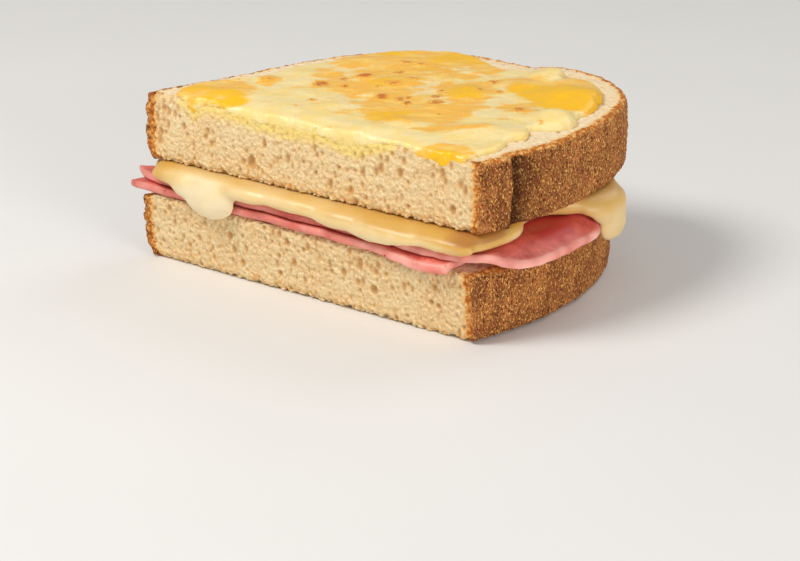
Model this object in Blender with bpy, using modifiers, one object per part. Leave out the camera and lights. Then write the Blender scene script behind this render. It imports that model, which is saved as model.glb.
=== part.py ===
"""One half of a toasted ham and cheese sandwich, cut across and lying flat.

The cut face looks along -Y, +X runs to the right along the cut and +Z is up. From the board upwards it is
a slice of bread, two slices of ham, a melted cheese filling, a second slice of bread and a melted cheese
topping. Every size below is in millimetres and becomes metres where the geometry is made.
"""

import math

import bmesh
import bpy
import numpy as np
from mathutils import Vector, noise

MM = 0.001

# Driving sizes, mm
BREAD_THICKNESS = 18.2
HAM_THICKNESS = 2.0
FILLING_THICKNESS = 4.2
TOPPING_THICKNESS = 1.7
GAP = 0.3
OUTLINE_STEP = 1.6

# Heights of the layers, bottom to top, mm
BOTTOM_TOP = BREAD_THICKNESS
HAM_LOWER_Z = BOTTOM_TOP + GAP
HAM_UPPER_Z = HAM_LOWER_Z + HAM_THICKNESS + GAP
FILLING_Z = HAM_UPPER_Z + HAM_THICKNESS + GAP
TOP_Z = FILLING_Z + FILLING_THICKNESS + GAP
TOPPING_Z = TOP_Z + BREAD_THICKNESS

# The lower slice has slid to the left, is longer at the cut, and its cut leans outwards at the top
LOWER_SLIDE = Vector((-1.5, -0.4))
LOWER_STRETCH = 1.01
LOWER_TAPER = 0.045
LOWER_TURN = math.radians(-0.6)
LOWER_LEAN = 2.2
HAM_SAG = 3.4

# Outlines in plan, mm: x, y and whether the outline turns a sharp corner there. y is 0 on the cut.
FOLD = [(53.5, 8.0, True), (52.3, 9.8, True)]
SLICE_OUTLINE = [
    (50.0, 0.0, True),
    *FOLD,
    (55.2, 17.0, False),
    (57.4, 30.0, False),
    (57.0, 48.0, False),
    (52.0, 66.0, False),
    (39.0, 78.0, False),
    (25.6, 81.2, False),
    (19.0, 78.6, True),
    (17.2, 76.4, True),
    (4.0, 77.4, False),
    (-12.0, 74.5, False),
    (-26.8, 62.6, False),
    (-35.6, 48.8, False),
    (-43.8, 25.0, False),
    (-51.6, 5.4, False),
    (-52.9, 0.0, True),
]
# The lower slice has no fold in its crust
LOWER_OUTLINE = [point for point in SLICE_OUTLINE if point not in FOLD]
HAM_UPPER_OUTLINE = [
    (44.6, -2.4, False),
    (51.4, 2.2, False),
    (56.4, 10.6, False),
    (58.6, 22.0, False),
    (59.4, 32.0, False),
    (59.0, 40.5, False),
    (55.2, 44.6, False),
    (52.4, 51.0, False),
    (46.0, 62.0, False),
    (30.0, 73.0, False),
    (2.0, 75.0, False),
    (-22.0, 62.0, False),
    (-38.0, 40.0, False),
    (-50.0, 14.0, False),
    (-59.2, 4.2, True),
    (-55.0, 1.2, False),
    (-46.0, 0.2, False),
    (-20.0, -1.0, False),
    (15.0, -1.6, False),
]
HAM_LOWER_OUTLINE = [
    (43.0, -4.2, True),
    (43.8, 8.0, False),
    (46.6, 30.0, False),
    (43.0, 52.0, False),
    (28.0, 70.0, False),
    (-4.0, 72.0, False),
    (-30.0, 54.0, False),
    (-48.0, 20.0, False),
    (-57.0, 6.0, False),
    (-59.6, 0.8, True),
    (-54.0, -0.6, False),
    (-30.0, -1.4, False),
    (0.0, -2.2, False),
    (20.0, -3.0, False),
    (32.0, -4.4, False),
]
FILLING_OUTLINE = [
    (47.8, -1.2, False),
    (51.2, 6.0, False),
    (52.0, 14.6, False),
    (48.6, 21.6, False),
    (48.4, 29.0, False),
    (54.0, 35.0, False),
    (57.6, 41.0, False),
    (58.4, 49.0, False),
    (54.0, 57.0, False),
    (46.0, 63.0, False),
    (36.0, 72.0, False),
    (10.0, 75.0, False),
    (-16.0, 68.0, False),
    (-34.0, 44.0, False),
    (-47.0, 14.0, False),
    (-52.4, 3.6, False),
    (-48.0, -0.6, False),
    (-34.0, -3.0, False),
    (-8.0, -2.6, False),
    (20.0, -3.4, False),
    (36.0, -2.6, False),
]
TOPPING_OUTLINE = [
    (47.0, 14.0, False),
    (46.0, 27.0, False),
    (52.4, 34.0, False),
    (50.0, 52.0, False),
    (41.0, 68.0, False),
    (33.0, 68.6, False),
    (26.0, 75.0, False),
    (12.0, 71.0, False),
    (-4.0, 74.0, False),
    (-19.0, 65.0, False),
    (-31.6, 44.0, False),
    (-39.0, 22.0, False),
    (-45.0, 7.0, False),
    (-40.0, 1.6, False),
    (-22.0, 1.0, False),
    (4.0, 1.4, False),
    (26.0, 1.0, False),
    (41.0, 2.0, False),
]

# Rounded lumps of melted cheese, mm: centre x, y, z and half sizes x, y, z
FILLING_LUMPS = [
    (-30.0, -2.0, 21.0, 8.2, 3.2, 5.0),
    (-38.4, -1.6, 23.2, 4.8, 2.8, 3.4),
    (-43.0, -0.6, 24.4, 8.0, 2.8, 2.4),
    (-18.0, -2.2, 25.0, 8.0, 2.6, 2.2),
    (-4.0, -2.0, 25.2, 13.0, 2.4, 2.1),
    (10.0, -2.4, 24.6, 9.0, 2.6, 2.6),
    (24.0, -3.0, 23.9, 13.0, 2.6, 2.8),
    (40.0, -2.4, 24.6, 10.0, 2.6, 2.4),
    (54.4, 46.4, 25.2, 6.6, 10.4, 2.2),
    (57.0, 48.0, 23.6, 3.2, 7.0, 3.8),
    (57.8, 48.4, 21.4, 2.4, 6.2, 4.4),
]
TOPPING_LUMPS = [
    (40.0, 56.0, 46.6, 10.5, 8.5, 2.3),
    (49.0, 47.0, 46.6, 4.8, 10.0, 2.2),
    (47.6, 32.0, 46.2, 6.0, 5.4, 2.1),
    (37.0, 22.0, 46.2, 9.0, 6.0, 1.9),
    (-30.0, 8.0, 46.2, 12.0, 6.0, 1.9),
    (33.0, 5.0, 46.0, 9.0, 5.0, 1.9),
    (4.0, 56.0, 46.2, 20.0, 8.0, 1.8),
    (8.0, 28.0, 46.2, 16.0, 8.0, 1.7),
    (-16.0, 42.0, 46.2, 9.0, 11.0, 1.7),
]
# Runs of cheese over the top edge of the cut, mm: x, half width and how far they come down
TOPPING_RUNS = [
    (-34.0, 6.0, 3.2),
    (-23.0, 9.0, 2.8),
    (-8.0, 11.0, 3.2),
    (8.0, 10.0, 3.6),
    (17.0, 7.0, 4.2),
    (30.0, 5.4, 3.0),
    (38.0, 5.4, 3.2),
]
RUN_THICKNESS = 1.2

# Colour, roughness
CRUMB = ((0.72, 0.53, 0.30), 0.9)
HAM = ((0.72, 0.25, 0.22), 0.35)
FILLING = ((0.84, 0.70, 0.38), 0.3)
TOPPING = ((0.86, 0.60, 0.20), 0.3)

# Mesh sizes, mm, and the share of each mesh's triangles that is kept
BREAD_VOXEL = 1.05
CHEESE_VOXEL = 0.9
BREAD_TRIANGLES = 3900
FILLING_TRIANGLES = 1300
TOPPING_TRIANGLES = 1500
HAM_TRIANGLES = 640


def clear_scene():
    for obj in list(bpy.data.objects):
        bpy.data.objects.remove(obj)


def new_collection(name):
    collection = bpy.data.collections.new(name)
    bpy.context.scene.collection.children.link(collection)
    return collection


def material(name, look):
    colour, roughness = look
    made = bpy.data.materials.new(name)
    made.use_nodes = True
    shader = made.node_tree.nodes["Principled BSDF"]
    shader.inputs["Base Color"].default_value = (*colour, 1.0)
    shader.inputs["Roughness"].default_value = roughness
    shader.inputs["Metallic"].default_value = 0.0
    made.diffuse_color = (*colour, 1.0)
    return made


def smooth_outline(points, step=OUTLINE_STEP):
    """A closed curve through the points, as a ring of x, y about step apart. It is smooth but at corners."""
    places = [np.array(p[:2], float) for p in points]
    corners = [p[2] for p in points]
    count = len(points)
    ring = []
    for i in range(count):
        before, start, end, after = (places[(i + k) % count] for k in (-1, 0, 1, 2))
        span = np.linalg.norm(end - start)

        def slope(previous, following):
            direction = following - previous
            return direction / np.linalg.norm(direction) * span

        leave = end - start if corners[i] else slope(before, end)
        arrive = end - start if corners[(i + 1) % count] else slope(start, after)
        pieces = max(1, round(span / step))
        for k in range(pieces):
            t = k / pieces
            ring.append(
                (2 * t**3 - 3 * t**2 + 1) * start
                + (t**3 - 2 * t**2 + t) * leave
                + (3 * t**2 - 2 * t**3) * end
                + (t**3 - t**2) * arrive
            )
    return np.array(ring)


def grown(ring, distance):
    """The ring moved outwards by distance. Points that come too near to it in a sharp crease are left out."""
    along = np.roll(ring, -1, axis=0) - np.roll(ring, 1, axis=0)
    along /= np.linalg.norm(along, axis=1, keepdims=True)
    moved = ring + distance * np.column_stack([along[:, 1], -along[:, 0]])
    return moved[depth_inside(moved, ring) < -0.8 * distance]


def depth_inside(places, ring):
    """How far each x, y place lies inside the ring, in mm. It is negative outside."""
    nearest = np.full(len(places), 1e9)
    inside = np.zeros(len(places), bool)
    for a, b in zip(ring, np.roll(ring, -1, axis=0)):
        edge = b - a
        t = np.clip((places - a) @ edge / (edge @ edge), 0, 1)
        nearest = np.minimum(nearest, np.linalg.norm(places - a - t[:, None] * edge, axis=1))
        crosses = (a[1] > places[:, 1]) != (b[1] > places[:, 1])
        rise = edge[1] if edge[1] else 1e-12
        inside ^= crosses & (places[:, 0] < a[0] + (places[:, 1] - a[1]) * edge[0] / rise)
    return np.where(inside, nearest, -nearest)


def smooth_step(value, low, high):
    t = np.clip((value - low) / (high - low), 0, 1)
    return t * t * (3 - 2 * t)


def on_lower_slice(co):
    """Takes places, mm, from a straight slice at the middle to where the lower slice lies."""
    c, s = math.cos(LOWER_TURN), math.sin(LOWER_TURN)
    x = LOWER_STRETCH * (c * co[:, 0] - s * co[:, 1]) + LOWER_SLIDE.x
    x -= LOWER_TAPER * co[:, 1] * smooth_step(co[:, 0], 0, 40)
    y = s * co[:, 0] + c * co[:, 1] + LOWER_SLIDE.y
    at_cut = 1 - smooth_step(co[:, 1], 0, 25)
    y = y - at_cut * LOWER_LEAN * (co[:, 2] / BREAD_THICKNESS - 0.4)
    return np.column_stack([x, y, co[:, 2]])


def points_of(mesh):
    co = np.empty(len(mesh.vertices) * 3)
    mesh.vertices.foreach_get("co", co)
    return co.reshape(-1, 3) / MM


def set_points(mesh, co):
    mesh.vertices.foreach_set("co", (co * MM).ravel())
    mesh.update()


def slab(name, ring, bottom, thickness, bevel, collection):
    """A flat piece of that outline, in mm, as a mesh object. bevel rounds its upper and lower edges."""
    curve = bpy.data.curves.new(name, "CURVE")
    curve.dimensions = "2D"
    curve.fill_mode = "BOTH"
    curve.extrude = (thickness / 2 - bevel) * MM
    curve.bevel_depth = bevel * MM
    curve.bevel_resolution = 2
    curve.offset = -bevel * MM
    spline = curve.splines.new("POLY")
    spline.use_cyclic_u = True
    spline.points.add(len(ring) - 1)
    for point, (x, y) in zip(spline.points, ring):
        point.co = (x * MM, y * MM, 0, 1)
    holder = bpy.data.objects.new(name, curve)
    holder.location.z = (bottom + thickness / 2) * MM
    return as_mesh(holder, name, collection)


def as_mesh(holder, name, collection):
    """Replaces an object by the mesh that it evaluates to, welded and in world space."""
    if not holder.users_collection:
        collection.objects.link(holder)
    bpy.context.view_layer.update()
    evaluated = holder.evaluated_get(bpy.context.evaluated_depsgraph_get())
    mesh = bpy.data.meshes.new_from_object(evaluated)
    mesh.transform(holder.matrix_world)
    bpy.data.objects.remove(holder)
    shape = bmesh.new()
    shape.from_mesh(mesh)
    bmesh.ops.remove_doubles(shape, verts=shape.verts, dist=0.00001)
    bmesh.ops.recalc_face_normals(shape, faces=shape.faces)
    shape.to_mesh(mesh)
    shape.free()
    mesh.name = name
    made = bpy.data.objects.new(name, mesh)
    collection.objects.link(made)
    return made


def lump(name, place, half, collection):
    """A rounded lump: a sphere stretched to its half sizes."""
    mesh = bpy.data.meshes.new(name)
    shape = bmesh.new()
    bmesh.ops.create_uvsphere(shape, u_segments=20, v_segments=12, radius=MM)
    bmesh.ops.scale(shape, vec=half, verts=shape.verts)
    bmesh.ops.translate(shape, vec=Vector(place) * MM, verts=shape.verts)
    shape.to_mesh(mesh)
    shape.free()
    made = bpy.data.objects.new(name, mesh)
    collection.objects.link(made)
    return made


def apply_modifiers(obj, collection):
    name = obj.name
    return as_mesh(obj, name, collection)


def remesh(obj, voxel, collection):
    modifier = obj.modifiers.new("Even", "REMESH")
    modifier.mode = "VOXEL"
    modifier.voxel_size = voxel * MM
    return apply_modifiers(obj, collection)


def soften(obj, times, collection):
    modifier = obj.modifiers.new("Soften", "SMOOTH")
    modifier.factor = 0.5
    modifier.iterations = times
    return apply_modifiers(obj, collection)


def thin_out(obj, triangles, collection):
    """Leaves about that many triangles, fewer where the surface is plain."""
    obj.data.calc_loop_triangles()
    modifier = obj.modifiers.new("Thin", "DECIMATE")
    modifier.ratio = min(1.0, triangles / len(obj.data.loop_triangles))
    modifier.use_collapse_triangulate = True
    return apply_modifiers(obj, collection)


def cut(obj, cutter, collection):
    """Takes the cutter's shape away from obj."""
    modifier = obj.modifiers.new("Cut", "BOOLEAN")
    modifier.operation = "DIFFERENCE"
    modifier.object = cutter
    modifier.solver = "MANIFOLD"
    return apply_modifiers(obj, collection)


def fuse(name, pieces, collection):
    """Joins overlapping pieces into one object, which the next remesh makes one body."""
    joined = bmesh.new()
    for piece in pieces:
        joined.from_mesh(piece.data)
        bpy.data.objects.remove(piece)
    mesh = bpy.data.meshes.new(name)
    joined.to_mesh(mesh)
    joined.free()
    made = bpy.data.objects.new(name, mesh)
    collection.objects.link(made)
    return made


def crumb_pits(co, seed):
    """How deep the open holes of the crumb go at each place of the cut face, mm."""
    draw = np.random.RandomState(seed)
    depth = np.zeros(len(co))
    for _ in range(150):
        x, z = draw.uniform(-48, 48), draw.uniform(1, BREAD_THICKNESS - 1)
        radius = 0.8 + 1.3 * draw.random_sample() ** 3
        away = np.hypot(co[:, 0] - x, (co[:, 2] - z) * 0.75)
        depth = np.maximum(depth, 0.9 * np.sqrt(np.clip(radius**2 - away**2, 0, None)))
    return depth


def waves(co, size, seed):
    """Smooth noise from -1 to 1 at each place, with lumps about size mm across."""
    shift = Vector((seed * 7.3, seed * 3.1, seed * 5.7))
    return np.array([noise.noise(Vector(p) / size + shift) for p in co])


def roughen_bread(mesh, ring, seed):
    """Crumb holes and a ragged edge on the cut, and a bumpy crust round the rest, all inside the outline."""
    co = points_of(mesh)
    z = co[:, 2]
    deep = depth_inside(co[:, :2], ring)
    side = 1 - smooth_step(deep, 0.4, 2.0)
    at_cut = 1 - smooth_step(co[:, 1], 0.6, 1.8)
    edge = 1 - smooth_step(np.minimum(z, BREAD_THICKNESS - z), 0.2, 2.2)
    bumps = 0.5 + 0.5 * waves(co, 9.0, seed)
    fine = 0.5 + 0.5 * waves(co, 2.6, seed + 1)
    pits = crumb_pits(co, seed) * at_cut
    ragged = at_cut * edge * (0.2 + 1.0 * fine)
    at_left = smooth_step(-co[:, 0], 20, 50)
    rounding = 1 - smooth_step(np.minimum(z, BREAD_THICKNESS - z), 0, 6)
    bumpy = (1 - at_cut) * (0.35 * bumps + 0.35 * fine + 0.4 * edge**2)
    crust = side * (bumpy + (0.4 + 0.5 * at_left) * rounding)
    centre = ring.mean(axis=0)
    inwards = centre - co[:, :2]
    inwards /= np.linalg.norm(inwards, axis=1, keepdims=True)
    co[:, :2] += crust[:, None] * inwards
    co[:, 1] += at_cut * side * pits + ragged
    co[:, 2] += np.where(z > BREAD_THICKNESS / 2, -1, 1) * edge * side * (0.1 + 0.5 * fine)
    set_points(mesh, co)


def bread(name, seed, on_board, collection):
    """One slice, rounded at its edges. The lower one lies on the board, the upper one on the filling."""
    ring = smooth_outline(LOWER_OUTLINE if on_board else SLICE_OUTLINE)
    slice_ = slab(name, ring, 0, BREAD_THICKNESS, 0, collection)
    slice_ = remesh(slice_, BREAD_VOXEL, collection)
    roughen_bread(slice_.data, ring, seed)
    slice_ = thin_out(slice_, BREAD_TRIANGLES, collection)
    co = points_of(slice_.data)
    co[:, 2] = np.clip(co[:, 2], 0, BREAD_THICKNESS)
    if on_board:
        co = on_lower_slice(co)
    else:
        co[:, 2] += TOP_Z
    set_points(slice_.data, co)
    return slice_


def bread_cutter(name, low, high, on_board, collection):
    """The room that a slice of bread takes, with the gap round it, from height low to height high."""
    outline = LOWER_OUTLINE if on_board else SLICE_OUTLINE
    cutter = slab(name, grown(smooth_outline(outline), GAP), low, high - low, 0, collection)
    if on_board:
        set_points(cutter.data, on_lower_slice(points_of(cutter.data)))
    return cutter


def droop(co):
    """How far the ham sags at each place, mm: where it reaches past the lower slice, most at the right."""
    straight = smooth_outline(LOWER_OUTLINE)
    flat = np.column_stack([straight, np.full(len(straight), BREAD_THICKNESS)])
    lower = on_lower_slice(flat)[:, :2]
    outside = -depth_inside(co[:, :2], lower)
    return smooth_step(outside, -0.2, 3.2) * HAM_SAG * (0.15 + 0.85 * smooth_step(co[:, 0], 5, 42))


def ham(name, outline, bottom, lift, collection):
    """One thin slice that follows what it lies on. lift raises its left tip, mm."""
    sheet = slab(name, smooth_outline(outline), bottom, HAM_THICKNESS, 0.5, collection)
    sheet = remesh(sheet, 0.8, collection)
    co = points_of(sheet.data)
    co[:, 2] -= droop(co)
    co[:, 2] += lift * smooth_step(-co[:, 0], 52.0, 60.0)
    set_points(sheet.data, co)
    return thin_out(sheet, HAM_TRIANGLES, collection)


def filling(collection, cutters):
    """The melted cheese between the slices, with a lip along the cut, a long drip and a flap at the right."""
    ring = smooth_outline(FILLING_OUTLINE)
    pieces = [slab("layer", ring, FILLING_Z, FILLING_THICKNESS, 1.6, cutters)]
    pieces += [lump("lump", f[:3], f[3:], cutters) for f in FILLING_LUMPS]
    cheese = fuse("cheese_filling", pieces, collection)
    cheese = remesh(cheese, CHEESE_VOXEL, collection)
    cheese = soften(cheese, 3, collection)
    cheese = thin_out(cheese, 2 * FILLING_TRIANGLES, collection)
    lower = bread_cutter("lower_room", -5, FILLING_Z, True, cutters)
    upper = bread_cutter("upper_room", TOP_Z - GAP, TOP_Z + BREAD_THICKNESS, False, cutters)
    for room in (lower, upper):
        cheese = cut(cheese, room, collection)
    for outline in (HAM_LOWER_OUTLINE, HAM_UPPER_OUTLINE):
        ring = grown(smooth_outline(outline), GAP)
        room = slab("ham_room", ring, HAM_LOWER_Z - 4, FILLING_Z - HAM_LOWER_Z + 4, 0, cutters)
        cheese = cut(cheese, room, collection)
    co = points_of(cheese.data)
    below = smooth_step(TOP_Z - GAP - co[:, 2], 0, FILLING_THICKNESS)
    co[:, 2] -= droop(co) * smooth_step(co[:, 1], 0, 8) * below
    set_points(cheese.data, co)
    return thin_out(cheese, FILLING_TRIANGLES, collection)


def topping(collection, cutters):
    """The melted cheese on top, with lumps where it lies thicker and short runs over the cut's edge."""
    ring = smooth_outline(TOPPING_OUTLINE)
    pieces = [slab("layer", ring, TOPPING_Z - 1, TOPPING_THICKNESS + 1, 0.8, cutters)]
    pieces += [lump("lump", f[:3], f[3:], cutters) for f in TOPPING_LUMPS]
    for x, half_width, down in TOPPING_RUNS:
        place = (x, 0.9, TOPPING_Z + TOPPING_THICKNESS - 1 - down / 2)
        half = (half_width, RUN_THICKNESS + 1.1, down / 2 + 1.4)
        pieces.append(lump("run", place, half, cutters))
    cheese = fuse("cheese_topping", pieces, collection)
    cheese = remesh(cheese, CHEESE_VOXEL, collection)
    cheese = soften(cheese, 2, collection)
    cheese = thin_out(cheese, TOPPING_TRIANGLES, collection)
    room = bread_cutter("slice_room", TOP_Z - 2, TOPPING_Z + GAP, False, cutters)
    return cut(cheese, room, collection)


def centre_on_footprint(pieces):
    """Moves the whole so that the middle of its box is over the origin and it stands on z = 0."""
    every = np.vstack([points_of(piece.data) for piece in pieces])
    low, high = every.min(axis=0), every.max(axis=0)
    shift = -np.array([(low[0] + high[0]) / 2, (low[1] + high[1]) / 2, low[2]])
    for piece in pieces:
        set_points(piece.data, points_of(piece.data) + shift)
    print("moved by", shift)


def main():
    clear_scene()
    toastie = new_collection("ham_and_cheese_toastie")
    cutters = new_collection("cutters")
    pieces = [
        bread("bread_bottom", 3, True, toastie),
        ham("ham_lower", HAM_LOWER_OUTLINE, HAM_LOWER_Z, 0.0, toastie),
        ham("ham_upper", HAM_UPPER_OUTLINE, HAM_UPPER_Z, 0.8, toastie),
        filling(toastie, cutters),
        bread("bread_top", 8, False, toastie),
        topping(toastie, cutters),
    ]
    crumb, pink = material("crumb", CRUMB), material("ham", HAM)
    looks = [crumb, pink, pink, material("cheese", FILLING), crumb, material("topping", TOPPING)]
    for piece, look in zip(pieces, looks):
        piece.data.materials.clear()
        piece.data.materials.append(look)
    for helper in cutters.objects:
        helper.hide_render = True
        helper.display_type = "WIRE"
    centre_on_footprint(pieces)


main()
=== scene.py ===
import math
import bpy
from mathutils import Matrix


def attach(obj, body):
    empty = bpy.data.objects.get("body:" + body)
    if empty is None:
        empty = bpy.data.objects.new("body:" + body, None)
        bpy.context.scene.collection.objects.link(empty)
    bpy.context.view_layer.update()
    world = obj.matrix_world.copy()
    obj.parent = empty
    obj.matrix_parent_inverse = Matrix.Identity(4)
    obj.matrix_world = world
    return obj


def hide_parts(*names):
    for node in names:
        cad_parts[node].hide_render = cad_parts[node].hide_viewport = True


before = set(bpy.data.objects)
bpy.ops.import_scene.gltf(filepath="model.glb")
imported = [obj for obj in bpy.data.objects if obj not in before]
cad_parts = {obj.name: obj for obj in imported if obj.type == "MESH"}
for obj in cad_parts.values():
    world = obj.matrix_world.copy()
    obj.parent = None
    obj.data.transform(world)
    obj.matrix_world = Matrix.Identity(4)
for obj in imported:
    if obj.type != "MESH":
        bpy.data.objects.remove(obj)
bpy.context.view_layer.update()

from types import SimpleNamespace

import bpy
import numpy as np
from mathutils import Vector
from mathutils.geometry import delaunay_2d_cdt

# Shapes are worked out in mm, with the plan's origin at the middle of the cut's foot: +X runs right along
# the cut, the cut looks along -Y and z is up. ORIGIN is that point in the frame.
MM = 0.001
ORIGIN = np.array([-0.659, -37.753, 0.0])

BREAD_THICKNESS = 18.2
HAM_THICKNESS = 2.0
FILLING_THICKNESS = 4.2
GAP = 0.3
HAM_LOWER_Z = BREAD_THICKNESS + GAP
HAM_UPPER_Z = HAM_LOWER_Z + HAM_THICKNESS + GAP
FILLING_Z = HAM_UPPER_Z + HAM_THICKNESS + GAP
TOP_Z = FILLING_Z + FILLING_THICKNESS + GAP
TOPPING_Z = TOP_Z + BREAD_THICKNESS

# How the lower slice lies: moved, stretched, narrowed towards the back, turned and leaned at its cut
LOWER_SLIDE = (-1.5, -0.4)
LOWER_STRETCH = 1.01
LOWER_TAPER = 0.045
LOWER_TURN = math.radians(-0.6)
LOWER_LEAN = 2.2

# How far the ham sags, over which length, and how much earlier the upper slice starts to
HAM_SAG = 3.4
SAG_LENGTH = 4.0
EARLY_SAG = 2.6
# The ham's rounded edge
HAM_EDGE = 0.55
HAM_EDGE_ROWS = 7

TOPPING_HEIGHT = 1.1
TOPPING_RIM = 1.7

# The bread: how far its rims may be drawn in, its crust's rounded edge and the cut's ends that follow it
RIM_CLEARANCE = 2.1
CRUST_EDGE = 1.5
CORNER_REACH = 7
HOLE_DEPTH = 0.85
HOLE_TRIES = 9000

WALL_STEP = 0.21
WALL_ROWS = round(BREAD_THICKNESS / WALL_STEP) + 1
HOLE_SMOOTHINGS = 2
MARGIN = 9
MARGIN_STEP = 0.55
INNER_STEP = 2.4
HAM_STEP = 0.55
HAM_INNER_STEP = 1.0
TOPPING_STEP = 0.44
FILLING_STEP = 0.55

VIEW_AZIMUTH = math.radians(34.67)
VIEW_ELEVATION = math.radians(22)
CAMERA_PLACE = np.array([293.24, -385.18, 200.80])
CAMERA_LENS = 94.09
CAMERA_SENSOR = 36

# Lights: name, place, size, power and colour. These, their target and the floor are in metres.
WARM_WHITE = (1.0, 0.98, 0.95)
LIGHTS = [
    ("key", (-0.28, -0.42, 0.64), 0.30, 4.2, WARM_WHITE),
    ("fill", (0.78, -0.30, 0.22), 0.4, 3.0, WARM_WHITE),
    ("back", (0.2, 0.7, 0.7), 0.5, 1.6, (1.0, 1.0, 1.0)),
]
LIGHT_TARGET = (0, 0, 0.03)
WORLD_COLOUR = (1.0, 0.99, 0.97, 1.0)
WORLD_STRENGTH = 0.34
FLOOR_REACH = 3.0
FLOOR_Z = -0.0002

# Colours
BREAD = SimpleNamespace(
    # The palest crumb colour on the next line is partly the crumb's paler grain, partly painted highlight
    cream=(0.80, 0.61, 0.33), warm=(0.77, 0.535, 0.26), grain=(0.95, 0.80, 0.53),
    # The last two crumb colours on the next line are painted shade, for its pits and holes
    flat=(0.95, 0.80, 0.57), bubble_shade=(0.60, 0.36, 0.14), hole=(0.58, 0.31, 0.105),
    soaked=(0.90, 0.68, 0.19), toasted=(0.80, 0.40, 0.10),
    rim=(0.84, 0.48, 0.16), rim_dark=(0.46, 0.125, 0.012),
    crust=(0.32, 0.095, 0.029), crust_light=(0.53, 0.185, 0.054),
    # The dark and golden speck colours on the next line are partly the crust's own grain, partly painted
    # shade and highlight; the last one is painted shade for the fold
    crust_dark_and_pit_shade=(0.115, 0.034, 0.011), crust_gold_and_highlight=(0.97, 0.54, 0.14), crease_shade=(0.070, 0.018, 0.003),
)
TOPPING = SimpleNamespace(
    cream=(0.94, 0.75, 0.36), warm=(0.94, 0.70, 0.25), orange=(0.98, 0.61, 0.125),
    deep_orange=(0.97, 0.50, 0.060), gold=(0.96, 0.52, 0.006),
    browned=(0.92, 0.47, 0.050), brown=(0.58, 0.16, 0.010),
)
FILLING = SimpleNamespace(
    cream=(0.85, 0.65, 0.33), warm=(0.83, 0.60, 0.25), pale=(0.87, 0.73, 0.46),
    # The amber and brown colours on the next line are painted shade
    amber=(0.68, 0.39, 0.080), brown=(0.48, 0.21, 0.045), dot=(0.60, 0.36, 0.12),
)
HAM = SimpleNamespace(
    pink=(0.72, 0.140, 0.105), deep_pink=(0.53, 0.075, 0.055), grain=(0.82, 0.23, 0.165),
    # The ham's darkest red here is painted shade, for where it lies in shade
    rim=(0.97, 0.48, 0.40), dark=(0.56, 0.055, 0.045), pepper=(0.10, 0.04, 0.03),
)
# Where a noise, 0..1, fades between two colours that share a surface evenly
EVEN_PATCHES = (0.35, 0.65)
CRUST_STRETCH = (1.0, 1.0, 1.6)
# The Mix node's sockets for colours: factor, first and second, and the result
MIX_INPUTS = (0, 6, 7)
MIX_OUTPUT = 2

# Outlines in plan: x, y and whether the outline turns a sharp corner there
FOLD = [(53.5, 8.0, True), (52.3, 9.8, True)]
SLICE_OUTLINE = [
    (50.0, 0.0, True), *FOLD, (55.2, 17.0, False), (57.4, 30.0, False),
    (57.0, 48.0, False), (52.0, 66.0, False), (39.0, 78.0, False), (25.6, 81.2, False),
    (19.0, 78.6, True), (17.2, 76.4, True), (4.0, 77.4, False), (-12.0, 74.5, False),
    (-26.8, 62.6, False), (-35.6, 48.8, False), (-43.8, 25.0, False), (-51.6, 5.4, False),
    (-52.9, 0.0, True),
]
# The lower slice has no fold in its crust
LOWER_OUTLINE = [point for point in SLICE_OUTLINE if point not in FOLD]
HAM_UPPER_OUTLINE = [
    (44.6, -2.4, False), (51.4, 2.2, False), (56.4, 10.6, False), (58.6, 22.0, False),
    (59.4, 32.0, False), (59.0, 40.5, False), (55.2, 44.6, False), (52.4, 51.0, False),
    (46.0, 62.0, False), (30.0, 73.0, False), (2.0, 75.0, False), (-22.0, 62.0, False),
    (-38.0, 40.0, False), (-50.0, 14.0, False), (-59.2, 4.2, True), (-55.0, 1.2, False),
    (-46.0, 0.2, False), (-20.0, -1.0, False), (15.0, -1.6, False),
]
HAM_LOWER_OUTLINE = [
    (43.0, -4.2, True), (43.8, 8.0, False), (46.6, 30.0, False), (43.0, 52.0, False),
    (28.0, 70.0, False), (-4.0, 72.0, False), (-30.0, 54.0, False), (-48.0, 20.0, False),
    (-57.0, 6.0, False), (-59.6, 0.8, True), (-54.0, -0.6, False), (-30.0, -1.4, False),
    (0.0, -2.2, False), (20.0, -3.0, False), (32.0, -4.4, False),
]
# The topping's outline on its own sheet: negative y runs down the cut face from its top edge
TOPPING_OUTLINE = [
    (46.2, 3.0, False), (48.0, 9.5, False), (46.8, 16.5, False), (48.6, 21.5, False),
    (46.4, 27.0, False), (49.8, 28.8, False), (53.0, 32.5, False), (53.0, 37.5, False),
    (50.6, 42.0, False), (51.4, 47.0, False), (49.8, 54.0, False), (46.0, 62.5, False),
    (40.5, 68.0, False), (36.5, 69.0, False), (32.6, 66.6, False), (31.0, 70.0, False),
    (26.0, 73.0, False), (22.0, 71.2, False), (20.6, 67.6, False), (14.0, 66.0, False),
    (10.0, 67.6, False), (0.0, 72.0, False), (-8.0, 71.6, False), (-18.0, 65.0, False),
    (-25.5, 54.5, False), (-28.8, 44.6, False), (-32.6, 36.0, False), (-34.4, 24.0, False),
    (-38.2, 19.0, False), (-41.0, 15.0, False), (-44.0, 9.0, False), (-44.4, 2.4, False),
    (-41.5, -0.6, False), (-38.8, -2.0, False), (-36.6, -3.8, False), (-34.6, -2.2, False),
    (-31.0, -0.9, False), (-26.0, -1.7, False), (-20.0, -2.2, False), (-13.4, -2.8, False),
    (-5.6, -3.0, False), (0.0, -2.6, False), (5.5, -2.7, False), (11.0, -4.0, False),
    (16.0, -3.2, False), (20.5, -1.4, False), (25.0, -0.3, False), (28.4, -0.8, False),
    (31.5, -2.4, False), (35.5, -3.3, False), (39.5, -3.3, False), (42.6, -2.2, False),
    (45.0, -0.4, False),
]
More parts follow.
